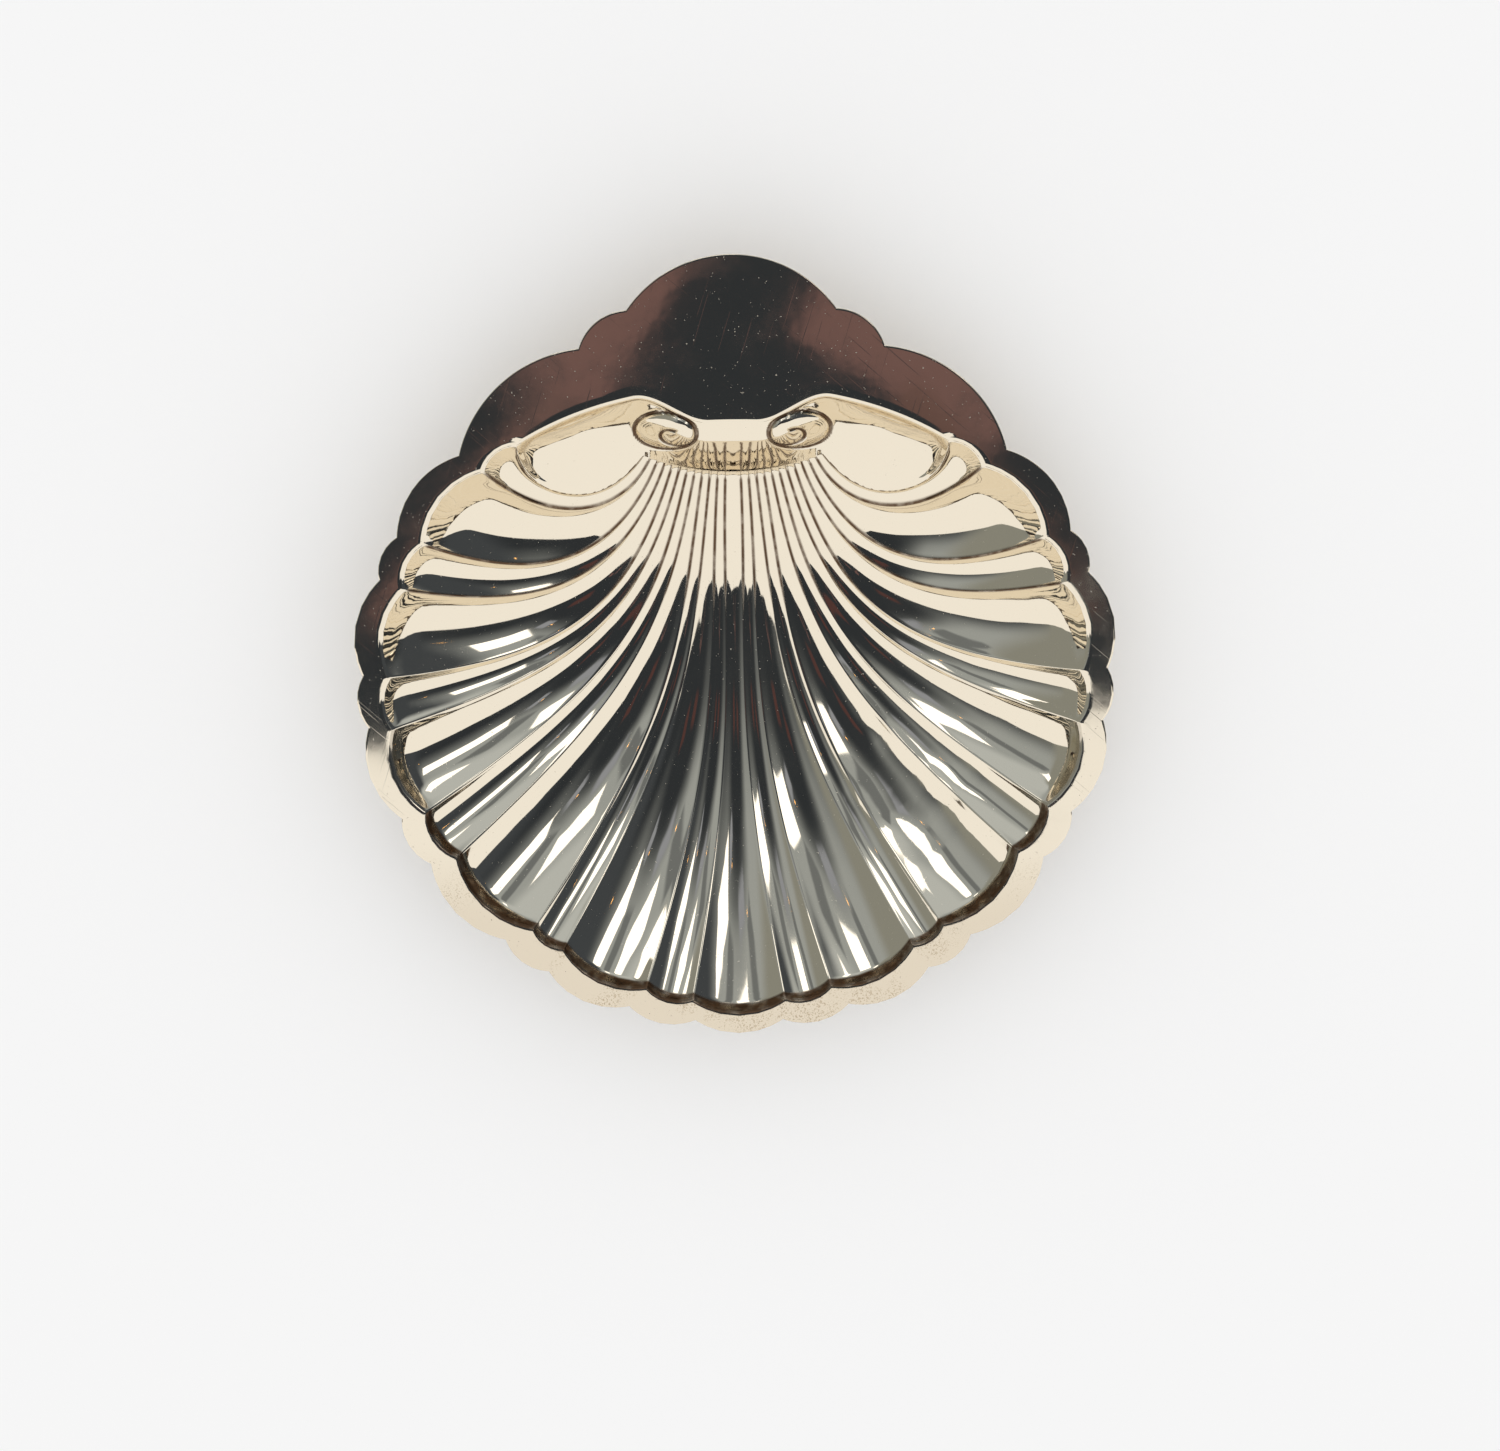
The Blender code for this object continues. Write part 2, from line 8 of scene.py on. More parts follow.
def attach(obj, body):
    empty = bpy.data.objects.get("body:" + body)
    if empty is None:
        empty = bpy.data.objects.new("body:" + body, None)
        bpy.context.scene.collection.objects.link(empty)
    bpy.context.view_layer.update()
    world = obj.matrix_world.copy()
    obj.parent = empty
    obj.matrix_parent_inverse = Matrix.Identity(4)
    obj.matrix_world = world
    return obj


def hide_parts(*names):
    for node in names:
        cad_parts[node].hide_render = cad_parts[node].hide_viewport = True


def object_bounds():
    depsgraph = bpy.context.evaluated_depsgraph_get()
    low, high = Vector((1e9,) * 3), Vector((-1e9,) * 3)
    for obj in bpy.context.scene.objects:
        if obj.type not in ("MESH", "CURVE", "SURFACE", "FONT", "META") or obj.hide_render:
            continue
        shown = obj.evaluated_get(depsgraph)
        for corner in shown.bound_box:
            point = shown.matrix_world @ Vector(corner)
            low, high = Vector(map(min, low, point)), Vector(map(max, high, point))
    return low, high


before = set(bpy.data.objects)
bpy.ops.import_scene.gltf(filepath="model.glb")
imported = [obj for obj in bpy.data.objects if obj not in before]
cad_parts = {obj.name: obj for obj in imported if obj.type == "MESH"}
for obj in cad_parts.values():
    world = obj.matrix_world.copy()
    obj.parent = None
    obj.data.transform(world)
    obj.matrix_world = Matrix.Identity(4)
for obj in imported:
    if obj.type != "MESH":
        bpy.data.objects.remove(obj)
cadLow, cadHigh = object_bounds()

mm = 0.001

well = {  # millimetres, measured from the middle of the dish and down from the rim
    "depth": 28,
    "roundness": 2.3,
    "deepestY": 7.5,
    "widestY": -15,
    "halfWidth": 92,
    "front": 85,
    "frontPower": 1.75,
    "back": 82.5,
    "backPower": 2.2,
    "notchDepth": 8.7,
    "notchFlat": 6,
    "notchEnd": 26,
    "sheet": 0.8,
}

flutes = {
    "hingeY": 41.3,
    "hingePitch": 2,
    "hingeBend": 55,
    "angles": (  # where the ridges end, in degrees round from the front
        8.5, 17.2, 34.2, 40.8, 60, 69.5, 85, 93.7, 108.8, 117, 133, 140.6,
    ),
    "leave": 0.35,
    "arriveFront": 0.5,
    "arriveBack": 0.72,
    "topLeave": (0.395, -0.593),
    "topArrive": (-0.03, 0.456),
    "hingeSag": 0.07,
    "frontSag": 0.11,
    "sideSag": 0.17,
    "sideStart": 6,  # the flute from which the hollows are as deep as at the sides
    "sagGrowth": 1.6,
    "leanPower": 4,
    "topSag": 0.2,
    "lobeSag": 0.16,
    "edgeRadius": 1.2,
    "steepWall": math.radians(77),  # wall under the rim in the middle of a front flute
    "sideWall": math.radians(50),  # and of a side flute
    "ridgeWall": math.radians(36),
    "wallStart": 5,  # the flute from which the walls turn gentler, and over how many
    "wallRun": 3,
    "wallBlend": 0.25,
    "leastBlend": 0.05,
    "crest": 0.22,  # half width of the rounding on a ridge
    "crestShare": 0.125,
    "across": (0, 0.02, 0.06, 0.15, 0.3, 0.5, 0.7, 0.85, 0.94, 0.98),
    "edgeRows": (0, 0.12, 0.3, 0.5, 0.72, 0.95, 1.2, 1.5, 1.9, 2.4, 3, 3.8),
    "longRows": 54,
    "curveSteps": 240,
    "creaseWidth": 0.9,
    "creaseFade": 3,
    "creaseStart": -13,  # the creases between the flutes, dark with patina and painted shade, run from here to the hinge
    "creaseRun": 30,
    "wallShadeFade": 0.6,  # painted shade on the walls under the front of the rim, in place of the dark room they reflect
    "wallShadeWidth": 1.8,
    "wallShadeSoft": 1.2,
    "wallShadeFlutes": 5,
    "wallShadeRun": 2,
}


def ease(share):
    share = min(max(share, 0), 1)
    return share * share * (3 - 2 * share)


def hollow(across):
    return 4 * across * (1 - across)


def mix(first, second, share):
    return first + (second - first) * share


def egg(x, y):  # under 1 inside the outline of the well
    rise = y - well["widestY"]
    if rise > 0:
        power = well["backPower"]
        return (abs(x) / well["halfWidth"]) ** power + (rise / well["back"]) ** power
    power = well["frontPower"]
    return (abs(x) / well["halfWidth"]) ** power + (-rise / well["front"]) ** power


def halved(low, high, steps, isPast):  # closes in on the place where isPast turns true
    for _ in range(steps):
        middle = (low + high) / 2
        if isPast(middle):
            high = middle
        else:
            low = middle
    return low, high


def reach(x, y):  # how far out from the deepest place, 1 on the outline
    def isPast(size):
        return egg(x / size, well["deepestY"] + (y - well["deepestY"]) / size) < 1

    return halved(0.0001, 4, 30, isPast)[1]


def bowlDepth(x, y, limit=1):
    return well["depth"] * (1 - min(reach(x, y) / limit, 1) ** well["roundness"])


def eggPoint(degrees):
    turn = math.radians(degrees)

    def isPast(radius):
        return egg(radius * math.sin(turn), well["widestY"] - radius * math.cos(turn)) >= 1

    radius = halved(0, 300, 40, isPast)[0]
    return Vector((radius * math.sin(turn), well["widestY"] - radius * math.cos(turn)))


def eggNormal(point):
    right = egg(point.x + 0.01, point.y) - egg(point.x - 0.01, point.y)
    back = egg(point.x, point.y + 0.01) - egg(point.x, point.y - 0.01)
    return Vector((right, back)).normalized()


def backEdge(x):  # the outline behind the hinge, with the dip between the scrolls
    power = well["backPower"]
    eggY = well["widestY"] + well["back"] * (1 - (abs(x) / well["halfWidth"]) ** power) ** (1 / power)
    dip = 1 - ease((abs(x) - well["notchFlat"]) / (well["notchEnd"] - well["notchFlat"]))
    return eggY - well["notchDepth"] * dip


def backTilt(x):
    return (backEdge(x + 1) - backEdge(x - 1)) / 2


def hingeY(x):
    return flutes["hingeY"] + x * x / (2 * flutes["hingeBend"])


def bezier(handles, share):
    a, b, c, d = handles
    rest = 1 - share
    return a * rest**3 + b * (3 * rest * rest * share) + c * (3 * rest * share * share) + d * share**3


def ridgeHandles(index):
    if index == 0:
        return [Vector((-point.x, point.y)) for point in ridgeHandles(1)]
    count = len(flutes["angles"])
    x = flutes["hingePitch"] * index
    start = Vector((x, hingeY(x)))
    end = eggPoint(flutes["angles"][index - 1])
    straight = (end - start).length
    if index == count:
        leave = Vector(flutes["topLeave"]) * straight
        return [start, start + leave, end - Vector(flutes["topArrive"]) * straight, end]
    away = Vector((x / flutes["hingeBend"], -1)).normalized()
    arrive = mix(flutes["arriveFront"], flutes["arriveBack"], (index / count) ** 2)
    return [start, start + away * straight * flutes["leave"], end - eggNormal(end) * straight * arrive, end]


ridges = [ridgeHandles(index) for index in range(len(flutes["angles"]) + 1)]


def lobeSwell(chord, across):
    sag = chord * flutes["lobeSag"]
    radius = (chord * chord / 4 + sag * sag) / (2 * sag)
    return math.sqrt(radius**2 - (chord * (across - 0.5)) ** 2) - (radius - sag)


def columnHandles(index, across):
    near = ridges[index]
    far = ridges[index + 1]
    handles = [mix(a, b, across) for a, b in zip(near, far)]
    chord = far[3] - near[3]
    swell = Vector((chord.y, -chord.x)).normalized() * lobeSwell(chord.length, across)
    handles[2] += swell
    handles[3] += swell
    return handles


def stations(handles):  # points along a column, from the edge of the well back to the hinge
    steps = flutes["curveSteps"]
    samples = [bezier(handles, step / steps) for step in range(steps + 1)]
    samples.reverse()
    lengths = [0]
    for before, after in zip(samples, samples[1:]):
        lengths.append(lengths[-1] + (after - before).length)
    total = lengths[-1]
    start = flutes["edgeRows"][-1]
    wanted = list(flutes["edgeRows"])
    wanted += [mix(start, total, step / flutes["longRows"]) for step in range(1, flutes["longRows"] + 1)]
    xs = np.interp(wanted, lengths, [point.x for point in samples])
    ys = np.interp(wanted, lengths, [point.y for point in samples])
    return [(Vector((x, y)), distance, 1 - distance / total) for x, y, distance in zip(xs, ys, wanted)]


def edgeDrop(distance, slope):  # fillet and wall just inside the edge of the well
    turned = flutes["edgeRadius"] * math.sin(slope)
    if distance < turned:
        return flutes["edgeRadius"] - math.sqrt(flutes["edgeRadius"] ** 2 - max(distance, 0) ** 2)
    return flutes["edgeRadius"] * (1 - math.cos(slope)) + (distance - turned) * math.tan(slope)


def softLeast(first, second, blend):
    if blend <= 0:
        return min(first, second)
    share = max(blend - abs(first - second), 0) / blend
    return min(first, second) - share * share * blend / 4


def roundedShare(across, width):  # keeps a ridge from being a knife edge
    side = min(across, 1 - across) * width
    crest = min(flutes["crest"], width * flutes["crestShare"])
    side = math.sqrt(side * side + crest * crest) - crest * (1 - 2 * side / width)
    return min(side / width, 0.5)


def fluteHeight(point, distance, along, place, width, limit):
    across = place % 1
    sag = mix(flutes["frontSag"], flutes["sideSag"], ease(place / flutes["sideStart"]))
    sag = width * mix(flutes["hingeSag"], sag, ease(along * flutes["sagGrowth"]))
    dip = sag * hollow(roundedShare(across, width))
    floor = bowlDepth(point.x, point.y, mix(1, limit, along ** flutes["leanPower"])) + dip
    atSide = ease((place - flutes["wallStart"]) / flutes["wallRun"])
    wall = mix(flutes["steepWall"], flutes["sideWall"], atSide)
    slope = mix(flutes["ridgeWall"], wall, math.sqrt(hollow(across)))
    foot = flutes["wallBlend"] * dip * (1 + atSide) + flutes["leastBlend"]
    depth = softLeast(floor, edgeDrop(distance, slope), foot)
    return -max(depth, 0) if distance else 0


def fluteShadeAndPatina(point, distance, side, index):  # 1 where shade and patina are painted: patina with painted shade on the ridges by the hinge, painted shade on the walls under the front of the rim
    byHinge = ease((point.y - flutes["creaseStart"]) / flutes["creaseRun"])
    ridge = max(1 - side / flutes["creaseWidth"], 0) * ease(distance / flutes["creaseFade"]) * byHinge
    # painted shade on the walls under the front of the rim, in place of the dark room they reflect
    wall = ease(distance / flutes["wallShadeFade"])
    wall *= 1 - ease((distance - flutes["wallShadeWidth"]) / flutes["wallShadeSoft"])
    wall *= 1 - ease((index - flutes["wallShadeFlutes"]) / flutes["wallShadeRun"])
    return max(ridge, wall)


def arcPoint(first, last, rise, share):
    chord = last - first
    out = Vector((chord.y, -chord.x)).normalized()
    radius = (chord.length_squared / 4 + rise * rise) / (2 * rise)
    halfTurn = math.asin(chord.length / 2 / radius)
    turn = mix(-halfTurn, halfTurn, share)
    along = chord.normalized() * radius * math.sin(turn)
    return (first + last) / 2 + along + out * (radius * math.cos(turn) - radius + rise)


rim = {
    "width": 5.5,
    "ridgeCusps": (  # ridge, then rim widths to the right and back of its end
        (1, -0.14, -0.92), (2, 0.82, -0.82), (3, 0.68, -1.03), (4, 1.31, -0.43),
        (5, 1.18, -0.27), (6, 1.09, -0.23), (7, 1.03, 0.1), (8, 1.11, 0.07),
        (9, 1, 0.43), (10, 1.11, 0.31), (12, 2.77, -0.64),
    ),
    "tabCusps": ((0.4315, 2.98), (0.2957, 4.13)),  # share of the half width, rim widths behind the back edge
    "tabRise": 14.3,
    "sharedLobe": 10,
    "sharedAt": 0.66,
    "rows": (0, 0.12, 0.35, 0.65),
    "edgeInsets": ((0.6, 0), (0.3, 0), (0.1, 0.04), (0, 0.16)),  # in from the edge, down
    "cuspBow": 12,  # bends the strips beside the last cusp, which would fold otherwise
    "bowPower": 3,
    "bowOnset": 10,
    "bowColumns": 16,
    "lobeColumns": (47, 18),
}

cusps = []
for ridge, right, behind in rim["ridgeCusps"]:
    cusps.append(eggPoint(flutes["angles"][ridge - 1]) + Vector((right, behind)) * rim["width"])
for across, behind in rim["tabCusps"]:
    x = across * well["halfWidth"]
    cusps.append(Vector((x, backEdge(x) + behind * rim["width"])))


def rimLobe(index, share):
    if index == len(cusps):
        first = cusps[-1]
        return arcPoint(first, Vector((-first.x, first.y)), rim["tabRise"], share)
    last = cusps[index]
    first = cusps[index - 1] if index else Vector((-last.x, last.y))
    return arcPoint(first, last, (last - first).length * flutes["lobeSag"], share)


def newGrid(name, columns):  # a grid primitive laid over columns of (x, y, z, painted shade and patina)
    rows = len(columns[0])
    bpy.ops.object.select_all(action="DESELECT")
    bpy.ops.mesh.primitive_grid_add(x_subdivisions=rows - 1, y_subdivisions=len(columns) - 1, size=2)
    piece = bpy.context.object
    piece.name = name
    values = np.array(columns, float).reshape(-1, 4)
    piece.data.vertices.foreach_set("co", (values[:, :3] * mm).ravel())
    shadeAndPatinaMask = piece.data.attributes.new("shadeAndPatinaMask", "FLOAT", "POINT")
    shadeAndPatinaMask.data.foreach_set("value", values[:, 3])
    piece.data.update()
    return piece


# The fluted fan, column by column from the front flute round to the last ridge
fan = []
fanEdge = []
for index in range(len(ridges) - 1):
    near = stations(ridges[index])
    far = stations(ridges[index + 1])
    shares = [share for share in flutes["across"] if index or share >= 0.5]
    if index == len(ridges) - 2:
        shares.append(1)
    for across in shares:
        column = stations(columnHandles(index, across))
        limit = max(reach(column[0][0].x, column[0][0].y), 1)
        placed = []
        for row, (point, distance, along) in enumerate(column):
            ahead = (column[max(row - 1, 0)][0] - column[min(row + 1, len(column) - 1)][0]).normalized()
            span = far[row][0] - near[row][0]
            width = abs(span.x * ahead.y - span.y * ahead.x)  # square to the flute
            height = fluteHeight(point, distance, along, index + across, width, limit)
            # painted shade and patina along the ridges by the hinge and on the front walls
            shadeAndPatinaMask = fluteShadeAndPatina(point, distance, min(across, 1 - across) * width, index)
            placed.append((point.x, point.y, height, shadeAndPatinaMask))
        fan.append(placed)
        fanEdge.append((index, across))
fanPiece = newGrid("flutedWell", fan)
print("fluted well:", len(fan), "columns of", len(fan[0]))


# The flat rim outside the fan
def rimStrip(inner, outer, bow=0):
    placed = []
    for share in rim["rows"]:
        point = mix(inner, outer, share)
        placed.append((point.x, point.y + bow * share * (1 - share) ** rim["bowPower"], 0, 0))
    for inset, drop in rim["edgeInsets"]:
        point = outer + (inner - outer).normalized() * inset
        placed.append((point.x, point.y, -drop, 0))
    return placed[::-1]


rimColumns = []
for (index, across), column in zip(fanEdge, fan):
    bow = rim["cuspBow"] * across ** rim["bowOnset"] if index > rim["sharedLobe"] else 0
    if index == rim["sharedLobe"]:
        across *= rim["sharedAt"]
    elif index > rim["sharedLobe"]:
        across = mix(rim["sharedAt"], 1, across)
        index = rim["sharedLobe"]
    inner = Vector(column[0][:2])
    rimColumns.append(rimStrip(inner, rimLobe(index, across), bow))
rimPiece = newGrid("flatRim", rimColumns)
print("flat rim:", len(rimColumns), "columns")


lastRidge = fan[-1]
ridgeX = [spot[0] for spot in reversed(lastRidge)]
ridgeY = [spot[1] for spot in reversed(lastRidge)]


def fieldStart(x):
    if x <= ridgeX[0]:
        return hingeY(x)
    return float(np.interp(x, ridgeX, ridgeY))


scroll = {
    "x": 17.6,
    "y": 54.6,
    "halfWidth": 8.2,
    "halfHeight": 5.7,
    "rise": 2.3,
    "domePower": 4,
    "eyeX": 15.4,
    "eyeY": 54.3,
    "eyeRadius": 1.5,
    "sweep": 5,
    "flatten": 0.7,
    "start": 180,  # the groove begins, is deep and ends, in degrees round the eye
    "deep": 240,
    "end": 480,
    "grooveWidth": 1.9,
    "grooveDepth": 0.9,
    "outlineWidth": 1.5,
    "outlineDepth": 0.5,
    "shadeAndPatinaGain": 1.5,
}


def spiralRadius(degrees):
    share = (degrees - scroll["start"]) / (scroll["end"] - scroll["start"])
    return scroll["eyeRadius"] + scroll["sweep"] * math.cos(share * math.pi / 2) ** 2


def grooveShape(distance, width):
    return math.cos(min(abs(distance) / width, 1) * math.pi) / 2 + 0.5


def scrollRelief(x, y):  # height of a scroll, and the painted shade and patina in its groove and outline
    right = x - scroll["eyeX"]
    back = (y - scroll["eyeY"]) / scroll["flatten"]
    radius = math.hypot(right, back)
    turn = math.degrees(math.atan2(back, right))
    groove = 0
    for degrees in (turn, turn + 360):
        if scroll["start"] <= degrees <= scroll["end"]:
            deep = ease((degrees - scroll["start"]) / (scroll["deep"] - scroll["start"]))
            away = radius - spiralRadius(degrees)
            groove = max(groove, deep * grooveShape(away, scroll["grooveWidth"] / 2))
    right = (x - scroll["x"]) / scroll["halfWidth"]
    back = (y - scroll["y"]) / scroll["halfHeight"]
    size = math.hypot(right, back)
    outline = grooveShape((size - 1) * scroll["halfHeight"], scroll["outlineWidth"] / 2)
    groove *= size < 1
    rise = scroll["rise"] * max(1 - size ** scroll["domePower"], 0)
    rise -= scroll["grooveDepth"] * groove + scroll["outlineDepth"] * outline
    return rise, min(scroll["shadeAndPatinaGain"] * max(groove, outline), 1)


hinge = {
    "tongueShare": 0.37,
    "tongueDrop": 0.17,
    "stepInner": 11,
    "stepOuter": 27,
    "hollowStart": 20,
    "hollowFull": 42,
    "hollowPeak": 6.75,  # the top hollow is deepest two thirds of the way back
    "hollowBack": 0.4,
    "wallWidth": 14,
    "seam": 2,  # over which the field takes up the height of the fan
    "edgeShare": 0.6,
    "rows": 44,
}


def stepShare(up):
    tongue = hinge["tongueShare"]
    if up > 1 - tongue:
        return hinge["tongueDrop"] * (1 - up) / tongue
    return mix(1, hinge["tongueDrop"], up / (1 - tongue))


def fieldHeight(x, y):
    low = fieldStart(x)
    high = backEdge(x)
    width = max(high - low, 0.1)
    up = min(max((y - low) / width, 0), 1)
    step = bowlDepth(x, low) * stepShare(up)
    outward = ease((x - hinge["stepInner"]) / (hinge["stepOuter"] - hinge["stepInner"]))
    floor = mix(step, bowlDepth(x, y), outward)
    rise, groove = scrollRelief(x, y)
    past = ease((x - hinge["hollowStart"]) / (hinge["hollowFull"] - hinge["hollowStart"]))
    dip = hinge["hollowPeak"] * up * up * (1 - up) + hinge["hollowBack"] * up * up
    dip *= flutes["topSag"] * width * past
    slope = mix(flutes["ridgeWall"], flutes["steepWall"], min(width / hinge["wallWidth"], 1))
    distance = (high - y) / math.hypot(1, backTilt(x))
    height = -softLeast(floor - rise + dip, edgeDrop(distance, slope), flutes["wallBlend"] * (dip + 1))
    return height, groove


# The field behind the fan: tongue, step, scroll and top hollow
lower = [column[-1] for column in fan] + lastRidge[-2::-1]
fanCount = len(fan)
ridgeCount = len(lastRidge) - 1
upper = []
for number in range(len(lower)):
    if number < fanCount:
        x = lower[number][0]
    else:
        x = mix(lower[fanCount - 1][0], lastRidge[0][0], (number - fanCount + 1) / ridgeCount)
    upper.append(Vector((x, backEdge(x) if number < len(lower) - 1 else lastRidge[0][1])))
field = []
for start, end in zip(lower, upper):
    first = Vector(start[:2])
    span = max((end - first).length, 0.001)
    edgeShare = min(flutes["edgeRows"][-1] / span, hinge["edgeShare"])
    distances = [row * edgeShare / flutes["edgeRows"][-1] for row in flutes["edgeRows"]]
    distances += [mix(edgeShare, 1, step / hinge["rows"]) for step in range(1, hinge["rows"] + 1)]
    base = fieldHeight(first.x, first.y)[0]
    placed = []
    for share in distances:
        point = mix(end, first, share)
        # the second value is the painted shade and patina in the scroll's groove and outline
        height, groove = fieldHeight(point.x, point.y)
        height += (start[2] - base) * max(1 - (1 - share) * span / hinge["seam"], 0)
        placed.append((point.x, point.y, min(height, 0) if share else 0, groove))
    placed[-1] = (start[0], start[1], start[2], placed[-1][3])
    field.append(placed)
fieldPiece = newGrid("hingeField", field)
print("hinge field:", len(field), "columns of", len(field[0]))


# The broad tab and the rim's last lobes, outside the back edge
outerRoute = [rimLobe(rim["sharedLobe"], 1)]
for lobe, count in zip((rim["sharedLobe"] + 1, rim["sharedLobe"] + 2), rim["lobeColumns"]):
    outerRoute += [rimLobe(lobe, step / count) for step in range(1, count + 1)]
outerRoute += [rimLobe(len(cusps), 0.5 * step / (fanCount - 1)) for step in range(1, fanCount)]
outerRoute.reverse()
tabColumns = []
for inner, outer in zip([Vector(column[0][:2]) for column in field], outerRoute):
    left = len(field) - 1 - len(tabColumns)
    tabColumns.append(rimStrip(inner, outer, rim["cuspBow"] * max(1 - left / rim["bowColumns"], 0) ** 2))
tabPiece = newGrid("hingeTab", tabColumns)
print("hinge tab:", len(tabColumns), "columns")


# One half joined, mirrored, dented, thickened and planed where it stands
finish = {
    "sameSpot": 0.000002,
    "middleSpot": 0.00001,
    "mirrorSpot": 0.00002,
    "dents": (  # x, y, radius and depth in millimetres
        (56, -45, 7, 0.5), (63, -38, 5, -0.3), (41, -51, 6, 0.4), (48, -58, 5, -0.28), (38, -27, 6, 0.4),
        (50, -36, 5, 0.25), (60, -53, 5, 0.3), (33, -44, 5, -0.2), (-27, -24, 6, 0.15), (-52, -50, 5, 0.1),
        (71, -20, 6, 0.2), (64, -6, 5, -0.15), (76, 8, 5, 0.12),
    ),
}
bpy.ops.object.select_all(action="DESELECT")
for piece in (fanPiece, rimPiece, fieldPiece, tabPiece):
    piece.select_set(True)
bpy.context.view_layer.objects.active = fanPiece
bpy.ops.object.join()
dish = bpy.context.object
dish.name = "silverDish"
front = rimLobe(0, 0.5).y
back = rimLobe(len(cusps), 0.5).y
dish.data.transform(Matrix.Translation((0, -(front + back) / 2 * mm, cadHigh[2])))
bpy.ops.object.mode_set(mode="EDIT")
bpy.ops.mesh.select_all(action="SELECT")
bpy.ops.mesh.remove_doubles(threshold=finish["sameSpot"])
bpy.ops.mesh.normals_make_consistent(inside=False)
bpy.ops.object.mode_set(mode="OBJECT")
if sum(face.normal.z * face.area for face in dish.data.polygons) < 0:
    dish.data.flip_normals()
for vertex in dish.data.vertices:
    if abs(vertex.co.x) < finish["middleSpot"]:
        vertex.co.x = 0
mirror = dish.modifiers.new("both halves", "MIRROR")
mirror.merge_threshold = finish["mirrorSpot"]
bpy.ops.object.modifier_apply(modifier=mirror.name)
for x, y, radius, depth in finish["dents"]:
    for vertex in dish.data.vertices:
        away = math.hypot(vertex.co.x / mm - x, vertex.co.y / mm - y) / radius
        if away < 1:
            vertex.co.z -= depth * mm * (1 - away**2) ** 2
sheet = dish.modifiers.new("sheet", "SOLIDIFY")
sheet.thickness = well["sheet"] * mm
sheet.offset = -1
bpy.ops.object.modifier_apply(modifier=sheet.name)
widest = max(vertex.co.x for vertex in dish.data.vertices)
longest = max(vertex.co.y for vertex in dish.data.vertices)
squeeze = Vector((min(cadHigh[0] / widest, 1), min(cadHigh[1] / longest, 1)))
for vertex in dish.data.vertices:
    vertex.co.x *= squeeze.x
    vertex.co.y *= squeeze.y
    vertex.co.z = min(max(vertex.co.z, cadLow[2]), cadHigh[2])
dish.data.shade_smooth()
dish.data.update()
triangles = sum(len(face.vertices) - 2 for face in dish.data.polygons)
print("dish:", triangles, "triangles, squeezed by", tuple(squeeze))


def addNode(tree, kind, inputs, **settings):
    node = tree.nodes.new(kind)
    for name, value in settings.items():
        setattr(node, name, value)
    for name, value in inputs.items():
        if isinstance(value, bpy.types.NodeSocket):
            tree.links.new(value, node.inputs[name])
        else:
            node.inputs[name].default_value = value
    return node


def calc(tree, operation, first, second=0.0):
    return addNode(tree, "ShaderNodeMath", {0: first, 1: second}, operation=operation).outputs[0]


def fade(tree, value, start, end, low=0.0, high=1.0):
    ends = {"Value": value, "From Min": start, "From Max": end, "To Min": low, "To Max": high}
    return addNode(tree, "ShaderNodeMapRange", ends, interpolation_type="SMOOTHSTEP").outputs["Result"]


def blend(tree, share, first, second):
    return addNode(tree, "ShaderNodeMix", {0: share, 6: first, 7: second}, data_type="RGBA").outputs[2]


silverLook = {
    "colour": (0.86, 0.775, 0.63, 1),
    # the dark brown of the patina and the painted shade
    "shadeAndPatina": (0.12, 0.07, 0.04, 1),
    "tarnish": (0.36, 0.24, 0.12, 1),
    "shadeMaskEnds": (0.3, 0.85),  # of the painted shade and patina values, between clean and dark
    "shadeAndPatinaScale": 260,
    "shadeAndPatinaEnds": (0.25, 0.6, 0.65, 1),
    "speckleScale": 2300,
    "speckleEnds": (0.47, 0.62),
    "cloudScale": 75,  # clouds of speckles
    "cloudEnds": (0.4, 0.62),
    "frontEnds": (-0.05, -0.075),  # where the front of the rim begins
    "speckleShare": 0.6,
    "frontDarkShare": 0.2,
    "roughness": (0.03, 0.085),  # clean metal and smudges
    "smudgeScale": 35,
    "smudgeEnds": (0.45, 0.75),
    "wornRoughness": 0.3,
    "speckleRoughness": 0.3,
    "dustScale": 1500,
    "dustEnds": (0.74, 0.78),
    "flatDepths": (0.001, 0.0003),  # how far under the top the rim begins to count as flat
    "flatShare": 0.06,  # of the waves there
    "waves": 0.00016,  # height of the waves in the pressed sheet
    "waveScale": 55,
    "chatter": 0.00003,  # height of the small waves on the walls
    "chatterScale": 300,
    "chatterDepths": (0.011, 0.007),
    "chatterEnds": (-0.035, 0, 0.15, 1),  # from little at the front to all at the sides
    "scratch": 0.0000008,
    "scratches": ((0.3, 0, 1900), (2.3, 20, 2300)),  # turn, offset, scale across
    "scratchLength": 30,
    "scratchEnds": (0.66, 0.74),
}


